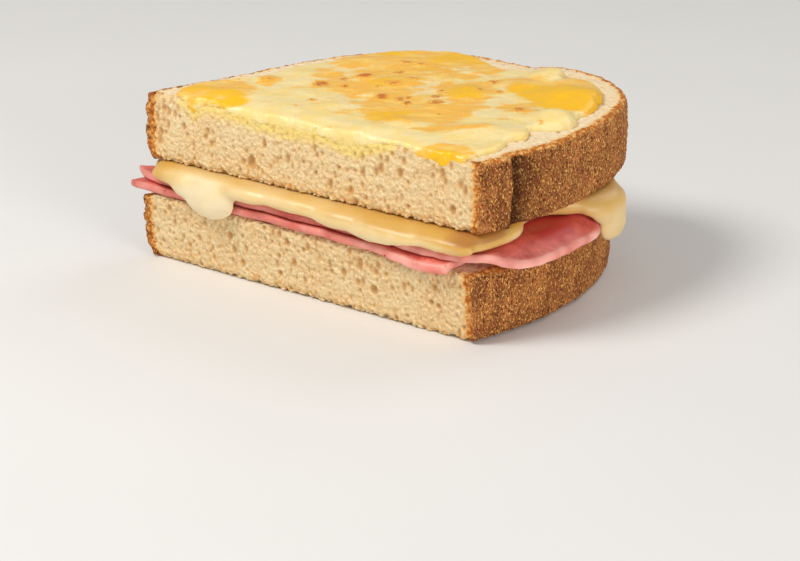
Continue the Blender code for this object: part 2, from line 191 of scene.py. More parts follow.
# The topping's lobes and spots: x, y, half width, half depth (turned with the view) and height or strength
TOPPING_GOBS = [
    (47.6, 35.6, 5.8, 5.4, 1.6), (42.6, 55.0, 9.6, 10.0, 1.5), (28.0, 67.4, 5.4, 5.6, 1.3),
    (36.0, 63.0, 5.6, 5.0, 1.0), (18.3, 11.6, 4.2, 5.2, 0.8), (18.3, 42.6, 5.0, 6.4, 0.7),
    (37.5, 17.0, 11.0, 6.0, 0.9), (-32.6, 6.0, 9.6, 7.6, 0.7), (14.5, 4.0, 9.0, 5.0, 0.5),
    (-10.4, 38.0, 3.4, 4.4, 0.5), (-30.4, 22.0, 3.0, 4.2, 0.6), (-2.6, 38.9, 5.0, 4.6, 0.5),
    (25.5, 55.0, 5.0, 6.0, 0.6), (-18.0, 50.0, 11.0, 6.4, 0.4),
]
ORANGE_SPOTS = [
    (-35.6, 7.4, 10.0, 8.6, 1.1), (-30.4, 22.6, 3.4, 5.0, 0.9), (-18.5, 51.5, 12.0, 6.4, 0.9),
    (-9.0, 61.0, 20.0, 7.6, 1.3), (-5.7, 38.9, 7.4, 8.6, 0.9), (-11.4, 28.4, 10.6, 5.0, 0.6),
    (13.6, 18.6, 9.0, 10.0, 1.0), (22.0, 21.4, 9.4, 6.4, 0.9), (32.1, 14.4, 9.0, 3.0, 0.95),
    (8.0, 27.6, 10.0, 5.4, 0.6), (18.3, 42.6, 6.4, 7.6, 1.0), (10.3, 64.5, 4.4, 6.6, 0.8),
    (31.1, 55.6, 6.6, 7.4, 1.2), (43.4, 56.6, 8.6, 12.0, 1.7), (36.2, 38.5, 5.0, 5.0, 0.8),
    (38.0, -1.0, 7.4, 5.6, 1.1), (-36.8, -3.4, 2.6, 3.4, 1.1), (5.0, 50.0, 9.0, 5.0, 0.45),
    (22.0, 56.0, 5.0, 5.0, 0.5), (-22.0, 36.0, 5.0, 5.0, 0.45),
    (0.0, 31.0, 9.0, 5.0, 0.6), (25.0, 34.0, 5.0, 8.0, 0.5), (-8.0, 46.0, 10.0, 5.0, 0.6),
]
# Where the cheese is a deeper yellow
GOLD_SPOTS = [
    (-28.6, 3.6, 6.4, 5.4, 0.8), (18.3, 41.6, 5.0, 5.6, 1.0), (13.0, 14.0, 6.4, 5.0, 0.7),
    (33.0, 52.0, 8.0, 6.0, 0.9), (42.4, 50.6, 8.4, 9.0, 1.15), (47.0, 54.0, 5.0, 8.0, 0.9),
    (38.4, -2.6, 5.6, 3.6, 0.95), (-36.8, -3.6, 2.0, 2.6, 0.9), (-3.6, 37.4, 5.0, 4.4, 0.6),
    (-1.0, 66.0, 9.0, 3.4, 0.9), (20.0, 10.4, 3.0, 3.4, 0.5), (-39.6, 6.0, 4.0, 5.0, 0.6),
    (-18.0, 60.0, 6.0, 3.0, 0.6), (6.0, 68.0, 8.0, 3.0, 0.7),
    (-2.0, 55.0, 5.0, 3.0, 0.5),
]
BROWN_SPOTS = [
    (-10.4, 38.0, 2.0, 2.0, 1.0), (-14.4, 34.1, 1.3, 1.6, 0.8), (-10.4, 28.7, 1.2, 1.4, 0.7),
    (2.7, 26.4, 1.7, 1.9, 1.0), (7.6, 27.2, 1.5, 1.6, 0.8), (11.1, 25.7, 1.2, 1.4, 0.9),
    (8.9, 29.5, 0.8, 0.9, 0.8), (-9.5, 55.3, 1.6, 1.4, 0.8), (-5.7, 56.8, 1.4, 1.1, 0.7),
    (-6.2, 47.0, 1.5, 1.1, 0.8), (0.3, 44.0, 1.5, 1.4, 0.7), (-0.9, 36.9, 2.4, 1.7, 0.7),
    (13.7, 34.7, 1.5, 1.5, 0.8), (17.1, 29.6, 1.9, 2.0, 0.8), (12.4, 39.6, 1.1, 1.2, 0.6),
    (19.2, 53.9, 1.5, 1.3, 0.8), (25.1, 46.6, 0.9, 1.0, 0.7), (37.0, 36.5, 1.8, 2.0, 0.9),
    (45.5, 38.4, 1.0, 1.4, 0.5), (47.0, 30.2, 1.0, 1.1, 0.6), (37.7, 27.8, 2.4, 0.8, 0.5),
    (22.7, 22.5, 0.6, 0.8, 0.8), (20.5, 44.5, 0.9, 1.4, 0.7), (-17.3, 52.8, 0.8, 0.7, 0.6),
    (-16.6, 26.9, 1.9, 2.2, 1.0), (-10.3, 14.7, 1.4, 1.0, 0.7), (-10.4, 8.3, 1.2, 0.8, 0.7),
    (-17.0, 6.6, 1.6, 0.6, 0.4), (-36.7, 10.5, 0.8, 1.2, 0.4), (-36.7, 17.8, 1.0, 1.0, 0.6),
    (-29.2, 21.1, 2.0, 2.2, 0.8), (5.0, 0.6, 0.8, 0.8, 0.4), (-3.0, 33.0, 1.2, 1.0, 0.6),
]
# Large holes in the crumb: x, height above the slice's foot, radius
TOP_HOLES = [
    (-18.5, 5.2, 1.5), (26.5, 11.2, 1.1), (-40.2, 10.5, 0.9), (41.5, 5.0, 1.2), (8.5, 9.0, 0.9),
]
LOWER_HOLES = [
    (20.5, 7.4, 1.3), (-24.0, 12.0, 1.1), (-8.6, 5.0, 1.0), (-38.0, 6.0, 0.9), (38.5, 12.4, 1.0),
]

# Slopes that the noise draws on. Its seeds only tell one noise from another.
GRADIENTS = np.random.RandomState(11).normal(size=(4096, 3))
GRADIENTS /= np.linalg.norm(GRADIENTS, axis=1, keepdims=True)


def smooth_step(value, low, high):
    t = np.clip((value - low) / (high - low), 0, 1)
    return t * t * (3 - 2 * t)


def noise(points, size, seed=0):
    """Smooth noise from about -1 to 1, with lumps about size mm across."""
    p = np.asarray(points, float) / size
    if p.shape[1] == 2:
        p = np.column_stack([p, np.zeros(len(p))])
    base = np.floor(p).astype(np.int64)
    part = p - base
    fade = part**3 * (part * (part * 6 - 15) + 10)
    total = np.zeros(len(p))
    for step in np.ndindex(2, 2, 2):
        corner = base + step
        key = corner[:, 0] * 73856093 ^ corner[:, 1] * 19349663 ^ corner[:, 2] * 83492791
        slope = GRADIENTS[(key ^ (seed * 7919 + 13)) % len(GRADIENTS)]
        weight = np.prod(np.where(step, fade, 1 - fade), axis=1)
        total += weight * np.sum((part - step) * slope, axis=1)
    return total * 1.7


def layered(points, size, seed=0, layers=3):
    """Noise with finer layers on it, each half the size and the strength of the one before."""
    return sum(noise(points, size / 2**k, seed + k) / 2**k for k in range(layers)) / 1.4


def smooth_outline(points, step):
    """A closed curve through the points, as a ring of x, y about step apart, smooth but at the corners."""
    places = [np.array(p[:2], float) for p in points]
    corners = [p[2] for p in points]
    count = len(points)
    ring = []
    for i in range(count):
        before, start, end, after = (places[(i + k) % count] for k in (-1, 0, 1, 2))
        span = np.linalg.norm(end - start)

        def slope(previous, following):
            direction = following - previous
            return direction / np.linalg.norm(direction) * span

        leave = end - start if corners[i] else slope(before, end)
        arrive = end - start if corners[(i + 1) % count] else slope(start, after)
        pieces = max(1, round(span / step))
        for k in range(pieces):
            t = k / pieces
            ring.append(
                (2 * t**3 - 3 * t**2 + 1) * start
                + (t**3 - 2 * t**2 + t) * leave
                + (3 * t**2 - 2 * t**3) * end
                + (t**3 - t**2) * arrive
            )
    return np.array(ring)


def outward(ring):
    """The direction out of the ring at each of its points."""
    along = np.roll(ring, -1, axis=0) - np.roll(ring, 1, axis=0)
    along /= np.linalg.norm(along, axis=1, keepdims=True)
    return np.column_stack([along[:, 1], -along[:, 0]])


def distance_to(places, ring, closed=True):
    """How far each x, y place is from the line through the ring's points, in mm."""
    nearest = np.full(len(places), 1e9)
    ends = np.roll(ring, -1, axis=0) if closed else ring[1:]
    for a, b in zip(ring, ends):
        edge = b - a
        t = np.clip((places - a) @ edge / (edge @ edge), 0, 1)
        nearest = np.minimum(nearest, np.hypot(*(places - a - t[:, None] * edge).T))
    return nearest


def is_inside(places, ring):
    inside = np.zeros(len(places), bool)
    for a, b in zip(ring, np.roll(ring, -1, axis=0)):
        if a[1] != b[1]:
            crosses = (a[1] > places[:, 1]) != (b[1] > places[:, 1])
            edge_x = a[0] + (places[:, 1] - a[1]) * (b[0] - a[0]) / (b[1] - a[1])
            inside ^= crosses & (places[:, 0] < edge_x)
    return inside


def depth_inside(places, ring):
    """How far each x, y place lies inside the ring, in mm. It is negative outside."""
    away = distance_to(places, ring)
    return np.where(is_inside(places, ring), away, -away)


def scattered(ring, spacing, seed, keep_off=0.5):
    """Places inside the ring, about spacing apart."""
    draw = np.random.RandomState(seed)
    low, high = ring.min(axis=0), ring.max(axis=0)
    xs = np.arange(low[0], high[0], spacing)
    ys = np.arange(low[1], high[1], spacing * 0.87)
    grid = np.stack(np.meshgrid(xs, ys), axis=-1)
    grid[1::2, :, 0] += spacing / 2
    places = grid.reshape(-1, 2) + draw.uniform(-0.22, 0.22, (grid.size // 2, 2)) * spacing
    return places[depth_inside(places, ring) > keep_off * spacing]


def triangles_of(ring, places):
    """Triangles that fill the ring, over its own points and then the places inside it."""
    points = [Vector(p) for p in np.vstack([ring, places])]
    count = len(ring)
    border = [(i, (i + 1) % count) for i in range(count)]
    out = delaunay_2d_cdt(points, border, [list(range(count))], 1, 1e-7)
    first = [orig[0] if orig else -1 for orig in out[3]]
    return np.array([[first[v] for v in face] for face in out[2]])


def wall_faces(rows, count):
    """Quads of a wall with that many rows of points, each row a closed ring of count points."""
    r, c = np.meshgrid(np.arange(rows - 1), np.arange(count), indexing="ij")
    n = (c + 1) % count
    quads = np.stack([r * count + c, r * count + n, (r + 1) * count + n, (r + 1) * count + c], axis=-1)
    return quads.reshape(-1, 4)


def closed_slab(ring, rows, places):
    """The faces of a flat piece: a wall of rows rings, then its upper and its lower cap over the places."""
    count, inner = len(ring), len(places)
    cap = triangles_of(ring, places)
    wall = rows * count
    upper = np.where(cap < count, cap + wall - count, cap - count + wall)
    lower = np.where(cap < count, cap, cap - count + wall + inner)[:, ::-1]
    faces = [list(f) for f in wall_faces(rows, count)]
    return faces + upper.tolist() + lower.tolist()


def turned(places, centre):
    """The places' offsets from the centre, across and along the direction of view."""
    c, s = math.cos(VIEW_AZIMUTH), math.sin(VIEW_AZIMUTH)
    off = places - centre
    return c * off[:, 0] + s * off[:, 1], c * off[:, 1] - s * off[:, 0]


def spot_field(places, spots, soft):
    """The highest of the spots' strengths at each place. soft is how gently they fade."""
    field = np.zeros(len(places))
    for x, y, across, deep, strength in spots:
        a, b = turned(places, (x, y))
        q = (a / across) ** 2 + (b / deep) ** 2
        field = np.maximum(field, strength * (1 - smooth_step(np.sqrt(q), 1 - soft, 1 + soft)))
    return field


def on_lower_slice(co):
    """Takes places from a straight slice at the middle to where the lower slice lies."""
    c, s = math.cos(LOWER_TURN), math.sin(LOWER_TURN)
    x = LOWER_STRETCH * (c * co[:, 0] - s * co[:, 1]) + LOWER_SLIDE[0]
    x = x - LOWER_TAPER * co[:, 1] * smooth_step(co[:, 0], 0, 40)
    y = s * co[:, 0] + c * co[:, 1] + LOWER_SLIDE[1]
    at_cut = 1 - smooth_step(co[:, 1], 0, 25)
    y = y - at_cut * LOWER_LEAN * (co[:, 2] / BREAD_THICKNESS - 0.4)
    return np.column_stack([x, y, co[:, 2]])


def lower_ring():
    """The outline of the lower slice's top, where it lies."""
    straight = smooth_outline(LOWER_OUTLINE, 1.6)
    flat = np.column_stack([straight, np.full(len(straight), BREAD_THICKNESS)])
    return on_lower_slice(flat)[:, :2]


def droop(co, early=0.0):
    """How far the ham sags at each place: where it reaches past the lower slice, most at the right.

    At the right it starts to sag that much before the slice's edge.
    """
    outside = -depth_inside(co[:, :2], lower_ring())
    at_side = (0.15 + 0.85 * smooth_step(co[:, 0], 5, 42)) * (0.6 + 0.4 * smooth_step(co[:, 1], 0, 16))
    start = -0.4 - early * smooth_step(co[:, 1], 2, 14) * (co[:, 0] > 30)
    t = np.clip((outside - start) / (SAG_LENGTH - start), 0, 1)
    return t * t * (3 - 2 * t) * HAM_SAG * at_side


def add_piece(name, co, faces, material, node, slot, **values):
    """A mesh object of the places co, mm, with a number for each place under each of the given names."""
    mesh = bpy.data.meshes.new(name)
    mesh.from_pydata(((co + ORIGIN) * MM).tolist(), [], faces)
    for key, value in values.items():
        layer = mesh.attributes.new(key, "FLOAT", "POINT")
        layer.data.foreach_set("value", np.asarray(value, np.float32))
    mesh.shade_smooth()
    mesh.materials.append(material)
    made = bpy.data.objects.new(name, mesh)
    bpy.context.scene.collection.objects.link(made)
    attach(made, "root")
    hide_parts(node)


# Shader nodes

def feed(tree, socket, value):
    """Sets the socket to a number, or links it to another node's output."""
    if isinstance(value, bpy.types.NodeSocket):
        tree.links.new(value, socket)
    else:
        socket.default_value = value


def add(tree, kind, settings=(), **inputs):
    """A node of that kind. inputs are its sockets by name, as numbers or as another node's output."""
    node = tree.nodes.new(kind)
    for key, value in dict(settings).items():
        setattr(node, key, value)
    for key, value in inputs.items():
        feed(tree, node.inputs[key.replace("_", " ")], value)
    return node


def mixed(tree, factor, first, second):
    """The first colour, taken to the second one by factor."""
    node = add(tree, "ShaderNodeMix", {"data_type": "RGBA"})
    for index, value in zip(MIX_INPUTS, (factor, first, second)):
        feed(tree, node.inputs[index], (*value, 1.0) if isinstance(value, tuple) else value)
    return node.outputs[MIX_OUTPUT]


def ramp(tree, value, low, high):
    """value taken from low..high to 0..1, smoothly."""
    node = add(tree, "ShaderNodeMapRange", {"interpolation_type": "SMOOTHSTEP"}, Value=value)
    node.inputs["From Min"].default_value = low
    node.inputs["From Max"].default_value = high
    return node.outputs["Result"]


def scaled(tree, value, low, high):
    """value, 0..1, taken to low..high."""
    node = add(tree, "ShaderNodeMapRange", Value=value)
    node.inputs["To Min"].default_value = low
    node.inputs["To Max"].default_value = high
    return node.outputs["Result"]


def reckon(tree, operation, first, second):
    node = add(tree, "ShaderNodeMath", {"operation": operation})
    for socket, value in zip(node.inputs, (first, second)):
        feed(tree, socket, value)
    return node.outputs[0]


def plus(tree, first, second):
    return reckon(tree, "ADD", first, second)


def times(tree, first, second):
    return reckon(tree, "MULTIPLY", first, second)


def number(tree, name):
    """The piece's own number of that name, from add_piece."""
    return add(tree, "ShaderNodeAttribute", {"attribute_name": name}).outputs["Fac"]


def cloud(tree, size, detail=3.0, roughness=0.55, stretch=None, turn=0.0):
    """Noise over the object's own coordinates, with lumps about size mm across.

    stretch is how much longer the lumps are along x, y and z, with x and y turned about z.
    """
    place = add(tree, "ShaderNodeTexCoord").outputs["Object"]
    if stretch:
        drawn = add(tree, "ShaderNodeMapping", {"vector_type": "TEXTURE"}, Vector=place, Scale=stretch)
        drawn.inputs["Rotation"].default_value = (0, 0, turn)
        place = drawn.outputs["Vector"]
    node = add(tree, "ShaderNodeTexNoise", Vector=place, Detail=detail, Roughness=roughness)
    node.inputs["Scale"].default_value = 1 / (size * MM)
    return node.outputs["Fac"]


def cells(tree, size):
    """The distance to the nearest middle of cells about size mm across."""
    place = add(tree, "ShaderNodeTexCoord").outputs["Object"]
    return add(tree, "ShaderNodeTexVoronoi", Vector=place, Scale=1 / (size * MM)).outputs["Distance"]


def new_material(name, **constants):
    material = bpy.data.materials.new(name)
    material.use_nodes = True
    tree = material.node_tree
    shader = tree.nodes["Principled BSDF"]
    for key, value in constants.items():
        shader.inputs[key.replace("_", " ")].default_value = value
    return material, tree, shader


def finish_material(tree, shader, colour, roughness, height, depth, strength):
    """Links the colour and roughness, and a bump of that depth, mm."""
    tree.links.new(colour, shader.inputs["Base Color"])
    tree.links.new(roughness, shader.inputs["Roughness"])
    bump = add(tree, "ShaderNodeBump", Height=height, Distance=depth * MM, Strength=strength)
    tree.links.new(bump.outputs["Normal"], shader.inputs["Normal"])


# Materials

def crumb_colour(tree, fine, bubbles):
    broad = ramp(tree, cloud(tree, 8.0, 2.0), *EVEN_PATCHES)
    colour = mixed(tree, broad, BREAD.cream, BREAD.warm)
    # Lighter flecks: partly the crumb's paler grain, partly painted highlight
    colour = mixed(tree, ramp(tree, fine, 0.42, 0.75), colour, BREAD.grain)
    colour = mixed(tree, times(tree, number(tree, "flat"), 0.5), colour, BREAD.flat)
    # Painted shade: the crumb is darkened in the pits of its bubble bump, and in its carved holes and sunk
    # pits
    pits = times(tree, ramp(tree, bubbles, 0.36, 0.06), 0.4)
    colour = mixed(tree, pits, colour, BREAD.bubble_shade)
    colour = mixed(tree, number(tree, "hole_shade"), colour, BREAD.hole)
    colour = mixed(tree, number(tree, "soak"), colour, BREAD.soaked)
    flecks = times(tree, number(tree, "toast"), ramp(tree, cloud(tree, 1.1), 0.50, 0.66))
    return mixed(tree, flecks, colour, BREAD.toasted)


def crust_colour(tree, tall, specks):
    patches = cloud(tree, 5.0, 3.0, 0.6, CRUST_STRETCH)
    colour = mixed(tree, ramp(tree, patches, 0.36, 0.64), BREAD.crust, BREAD.crust_light)
    # Specks: dark in the low pits of the grain's bump, golden on its raised grains; partly the crust's own
    # colour, partly painted shade and highlight
    colour = mixed(tree, ramp(tree, specks, 0.50, 0.40), colour, BREAD.crust_dark_and_pit_shade)
    gold = ramp(tree, tall, 0.55, 0.65)
    colour = mixed(tree, gold, colour, BREAD.crust_gold_and_highlight)
    # Painted shade: the crust is darkened in the crease of its fold, a little less on its golden grains
    dark = times(tree, number(tree, "dark"), scaled(tree, gold, 1.0, 0.7))
    return mixed(tree, dark, colour, BREAD.crease_shade)


def bread_material():
    material, tree, shader = new_material(
        "bread",
        Subsurface_Weight=0.15,
        Subsurface_Radius=(1.0, 0.55, 0.25),
        Subsurface_Scale=0.0012,
        Specular_IOR_Level=0.15,
    )
    fine = cloud(tree, 0.55)
    bubbles = cells(tree, 0.8)
    tall = cloud(tree, 0.42, 2.0, 0.6, CRUST_STRETCH)
    specks = cloud(tree, 0.60, 3.0, 0.7, CRUST_STRETCH)
    grit = scaled(tree, cloud(tree, 1.1, 4.0, 0.7), -1.2, 1.2)
    # The crumb browns in two steps towards the crust
    near_crust = plus(tree, number(tree, "band"), grit)
    crumb = crumb_colour(tree, fine, bubbles)
    colour = mixed(tree, ramp(tree, near_crust, 0.1, 0.8), crumb, BREAD.rim)
    colour = mixed(tree, ramp(tree, near_crust, 0.60, 1.15), colour, BREAD.rim_dark)
    ragged = ramp(tree, plus(tree, number(tree, "crust"), grit), 0.3, 0.8)
    colour = mixed(tree, ragged, colour, crust_colour(tree, tall, specks))
    greasy = times(tree, number(tree, "soak"), 0.45)
    roughness = reckon(tree, "SUBTRACT", scaled(tree, fine, 0.72, 0.95), greasy)
    on_crust = scaled(tree, number(tree, "crust"), 0.15, 2.4)
    grain = times(tree, plus(tree, tall, specks), on_crust)
    height = plus(tree, times(tree, bubbles, 0.8), grain)
    finish_material(tree, shader, colour, roughness, height, 0.26, 0.9)
    return material


def topping_material():
    material, tree, shader = new_material(
        "melted_topping",
        Subsurface_Weight=0.22,
        Subsurface_Radius=(1.0, 0.6, 0.2),
        Subsurface_Scale=0.0016,
        Coat_Weight=0.14,
        Coat_Roughness=0.16,
        Specular_IOR_Level=0.35,
    )
    broad = cloud(tree, 5.0, 3.0)
    veins = cloud(tree, 2.2, 2.0, 0.5, (2.4, 1.0, 1.0), VIEW_AZIMUTH)
    cream = mixed(tree, ramp(tree, broad, *EVEN_PATCHES), TOPPING.cream, TOPPING.warm)
    orange = mixed(tree, ramp(tree, veins, 0.38, 0.62), TOPPING.orange, TOPPING.deep_orange)
    share = plus(tree, number(tree, "orange"), scaled(tree, veins, -0.75, 0.75))
    colour = mixed(tree, ramp(tree, share, 0.28, 0.66), cream, orange)
    deep = plus(tree, number(tree, "gold"), scaled(tree, veins, -0.6, 0.6))
    colour = mixed(tree, ramp(tree, deep, 0.28, 0.75), colour, TOPPING.gold)
    grains = cloud(tree, 0.8, 5.0, 0.75)
    browned = plus(tree, number(tree, "brown"), scaled(tree, grains, -1.3, 1.3))
    colour = mixed(tree, ramp(tree, browned, 0.12, 0.50), colour, TOPPING.browned)
    colour = mixed(tree, ramp(tree, browned, 0.46, 0.88), colour, TOPPING.brown)
    roughness = scaled(tree, broad, 0.30, 0.50)
    height = plus(tree, cloud(tree, 0.8), times(tree, cloud(tree, 2.4), 2.0))
    finish_material(tree, shader, colour, roughness, height, 0.12, 0.6)
    return material


def filling_material():
    material, tree, shader = new_material(
        "melted_filling",
        Subsurface_Weight=0.25,
        Subsurface_Radius=(1.0, 0.65, 0.3),
        Subsurface_Scale=0.0018,
        Coat_Weight=0.15,
        Coat_Roughness=0.25,
    )
    broad = cloud(tree, 6.0, 2.0)
    amber = number(tree, "amber")
    colour = mixed(tree, ramp(tree, broad, *EVEN_PATCHES), FILLING.cream, FILLING.warm)
    colour = mixed(tree, number(tree, "pale"), colour, FILLING.pale)
    # Painted shade: amber, and brown where it is deepest
    colour = mixed(tree, amber, colour, FILLING.amber)
    colour = mixed(tree, ramp(tree, amber, 1.1, 1.8), colour, FILLING.brown)
    dots = ramp(tree, cells(tree, 2.6), 0.10, 0.04)
    colour = mixed(tree, times(tree, dots, 0.5), colour, FILLING.dot)
    roughness = scaled(tree, broad, 0.32, 0.52)
    height = plus(tree, cloud(tree, 1.6), times(tree, dots, -0.6))
    finish_material(tree, shader, colour, roughness, height, 0.14, 0.5)
    return material


def ham_material():
    material, tree, shader = new_material(
        "ham",
        Subsurface_Weight=0.25,
        Subsurface_Radius=(1.0, 0.35, 0.25),
        Subsurface_Scale=0.0012,
        Coat_Weight=0.08,
        Coat_Roughness=0.2,
        Specular_IOR_Level=0.2,
    )
    fine = cloud(tree, 0.9)
    broad = ramp(tree, cloud(tree, 5.5, 3.0), 0.38, 0.66)
    pink = mixed(tree, broad, HAM.pink, HAM.deep_pink)
    pink = mixed(tree, ramp(tree, fine, 0.50, 0.8), pink, HAM.grain)
    colour = mixed(tree, number(tree, "rim"), pink, HAM.rim)
    # Painted shade, from the piece's own number, darkens the ham to its darkest red
    dark = plus(tree, number(tree, "dark"), scaled(tree, fine, -0.35, 0.35))
    colour = mixed(tree, ramp(tree, dark, 0.1, 0.9), colour, HAM.dark)
    pepper = ramp(tree, cells(tree, 5.5), 0.07, 0.045)
    colour = mixed(tree, pepper, colour, HAM.pepper)
    roughness = scaled(tree, fine, 0.25, 0.5)
    finish_material(tree, shader, colour, roughness, fine, 0.10, 0.5)
    return material


# Bread

def carve(places, holes):
    """How deep the holes go at each place x, z of a grid, places[rows, columns, 2], with rounded walls."""
    depth = np.zeros(places.shape[:2])
    xs, zs = places[0, :, 0], places[:, 0, 1]
    flat = places.reshape(-1, 2)
    shaken = flat + 0.22 * np.column_stack([noise(flat, 0.9, 3), noise(flat, 0.9, 4)])
    shaken = shaken.reshape(places.shape)
    for x, z, radius, tall in holes:
        reach = radius * 2.1 + 0.4
        i, j = np.searchsorted(xs, [x - reach, x + reach])
        k, m = np.searchsorted(zs, [z - reach, z + reach])
        near = shaken[k:m, i:j]
        q = ((near[..., 0] - x) / radius) ** 2 + ((near[..., 1] - z) / (radius * tall)) ** 2
        hole = HOLE_DEPTH * radius * np.clip(1 - q, 0, None) ** 0.7
        depth[k:m, i:j] = np.maximum(depth[k:m, i:j], hole)
    for _ in range(HOLE_SMOOTHINGS):
        padded = np.pad(depth, 1, mode="edge")
        across = padded[:, :-2] + 2 * padded[:, 1:-1] + padded[:, 2:]
        depth = (across[:-2] + 2 * across[1:-1] + across[2:]) / 16
    return depth


def crumb_holes(seed, large):
    """Holes of the crumb, packed like foam: x, z, radius and how much taller than wide."""
    draw = np.random.RandomState(seed)
    holes = [(x, z, r, draw.uniform(0.9, 1.5)) for x, z, r in large]
    spots = draw.uniform((-53.5, -0.2), (51, BREAD_THICKNESS + 0.2), (HOLE_TRIES, 2))
    openness = 1 + 0.35 * noise(spots, 9.0, seed + 2)
    radii = (0.40 + 0.58 * draw.random_sample(len(spots)) ** 2.4) * openness
    kept = np.array(large)
    for (x, z), radius in zip(spots, radii):
        room = np.hypot(kept[:, 0] - x, (kept[:, 1] - z) * 0.8) - 0.82 * kept[:, 2]
        if room.min() > 0.84 * radius:
            kept = np.vstack([kept, (x, z, radius)])
            holes.append((x, z, radius, draw.uniform(0.9, 2.0)))
    return holes


def slice_ring(outline):
    """The slice's outline, as a ring of its crust's line and then the cut, and the crust's line alone."""
    crust_line = smooth_outline(outline, 2.4 * WALL_STEP)
    corner = np.argmin(np.hypot(*(crust_line - SLICE_OUTLINE[-1][:2]).T))
    crust_line = crust_line[: corner + 1]
    left, right = crust_line[-1], crust_line[0]
    steps = round((right[0] - left[0]) / WALL_STEP)
    cut = np.column_stack([np.linspace(left[0], right[0], steps + 1)[1:-1], np.zeros(steps - 1)])
    return np.vstack([crust_line, cut]), crust_line


def margin_places(ring, crust_line, seed):
    """Places on a slice's flat: close together near the crust, where they show, and wide apart inside."""
    coarse = ring[:: max(1, len(ring) // 300)]
    near = scattered(coarse, MARGIN_STEP, seed)
    near = near[distance_to(near, crust_line[::4], closed=False) < MARGIN]
    far = scattered(coarse, INNER_STEP, seed + 1)
    far = far[distance_to(far, crust_line[::4], closed=False) > MARGIN + 1]
    near = near[distance_to(near, ring[::2]) > RIM_CLEARANCE]
    return np.vstack([near, far])


def wall_fields(ring, on_cut, holes, seed):
    """What the shape and the numbers of a slice's wall are worked out from, each by row and column."""
    heights = np.linspace(0, BREAD_THICKNESS, WALL_ROWS)
    x, z = np.meshgrid(ring[:, 0], heights)
    y = np.meshgrid(ring[:, 1], heights)[0]
    at = np.column_stack([x.ravel(), y.ravel(), z.ravel()])
    pores = np.zeros_like(x)
    pores[:, on_cut] = carve(np.stack([x[:, on_cut], z[:, on_cut]], axis=-1), holes)

    def field(size, shift, layers):
        return layered(at, size, seed + shift, layers).reshape(x.shape)

    return SimpleNamespace(
        at=at, x=x, y=y, z=z, pores=pores,
        edge=np.minimum(z, BREAD_THICKNESS - z),
        at_left=smooth_step(-x, 20, 50),
        rough=field(1.1, 0, 3),
        torn=field(2.6, 5, 3),
        bumps=field(9.0, 9, 2),
        grain=field(0.8, 12, 2),
        spread=field(1.5, 30, 2),
    )


def cut_depth(wall):
    """How far the cut face is drawn in: its holes, its roughness and its torn edges."""
    ragged = (1 - smooth_step(wall.edge, 0, 2.0)) * (0.35 + 1.1 * np.clip(wall.torn + 0.3, 0, None))
    return wall.pores + 0.22 * wall.rough + 0.2 * wall.torn + ragged + 0.2


def crust_depth(wall):
    """How far the crust is drawn in: its grain and its round, ragged edges, most at the left."""
    rounding = (0.4 + 0.5 * wall.at_left) * (1 - smooth_step(wall.edge, 0, 6))
    depth = 0.4 + 0.35 * wall.bumps + 0.26 * wall.torn + 0.2 * wall.grain + rounding
    turn = np.clip(1 - wall.edge / CRUST_EDGE, 0, 1)
    depth += 1.1 * (1 - np.sqrt(1 - turn**2)) + 0.3 * turn * wall.rough
    craggy = 1.2 * np.clip(wall.torn, 0, None) + 0.5 * np.clip(wall.bumps, 0, None)
    return depth + wall.at_left * craggy


def wall_places(wall, ring, crust_line, on_cut):
    """The wall's places, drawn in along the outline's normals."""
    normal = outward(ring)
    left, right = crust_line[-1][0], crust_line[0][0]
    depth = np.where(on_cut, cut_depth(wall), crust_depth(wall))
    from_corner = np.minimum(np.abs(wall.x - left), np.abs(wall.x - right)) + 3 * wall.y
    depth = depth * np.where(on_cut, 0.35 + 0.65 * smooth_step(from_corner, 0, 1.2), 1)
    co = wall.at.copy()
    co[:, 0] -= (depth * normal[:, 0]).ravel()
    co[:, 1] -= (depth * normal[:, 1]).ravel()
    # The ends of the cut go along with the crust's corners
    for column, corner_x in ((len(crust_line) - 1, left), (0, right)):
        push = (depth[:, column] * normal[column, 0])[:, None]
        beside = np.where(on_cut, 1 - smooth_step(np.abs(wall.x - corner_x), 0, CORNER_REACH), 0)
        co[:, 0] -= (push * beside).ravel()
    loose = np.where(on_cut, 0.55, 0.25) * np.clip(wall.rough + 0.4, 0, None)
    shave = (1 - smooth_step(wall.edge, 0, 1.2)) * (0.12 + loose)
    co[:, 2] += (np.where(wall.z > BREAD_THICKNESS / 2, -1, 1) * shave).ravel()
    return co


def fold_shade(wall, on_cut):
    """How much painted shade darkens the crust about its fold, most just past its crease."""
    crease_x, crease_y, _ = FOLD[1]
    past = smooth_step(wall.y, crease_y - 1.2, crease_y + 0.2)
    away = np.hypot(wall.x - crease_x, wall.y - crease_y)
    shade = np.exp(-away / 4.6) * (0.15 + 1.15 * past) * (1 + 0.35 * wall.torn)
    return np.where(on_cut | (wall.x < 40), 0, np.clip(shade, 0, 1))


def soaked(wall, on_cut, line):
    """How far the topping's fat has soaked into the cut, below the line of its front rim."""
    drop = np.interp(wall.x, *line)
    below = BREAD_THICKNESS - wall.z - drop
    wet = 1 - smooth_step(below + 0.9 * wall.torn, 0.3, 3.2)
    return wet * on_cut * (drop > 0.2) * 0.75


def soak_line():
    """The topping's front rim, as x and how far it hangs down the cut. Nothing is soaked right of it."""
    rim = sorted((x, -y) for x, y, _ in TOPPING_OUTLINE if y < 2.5 and x < 26)
    return np.array(rim + [(26.5, -3.0)]).T


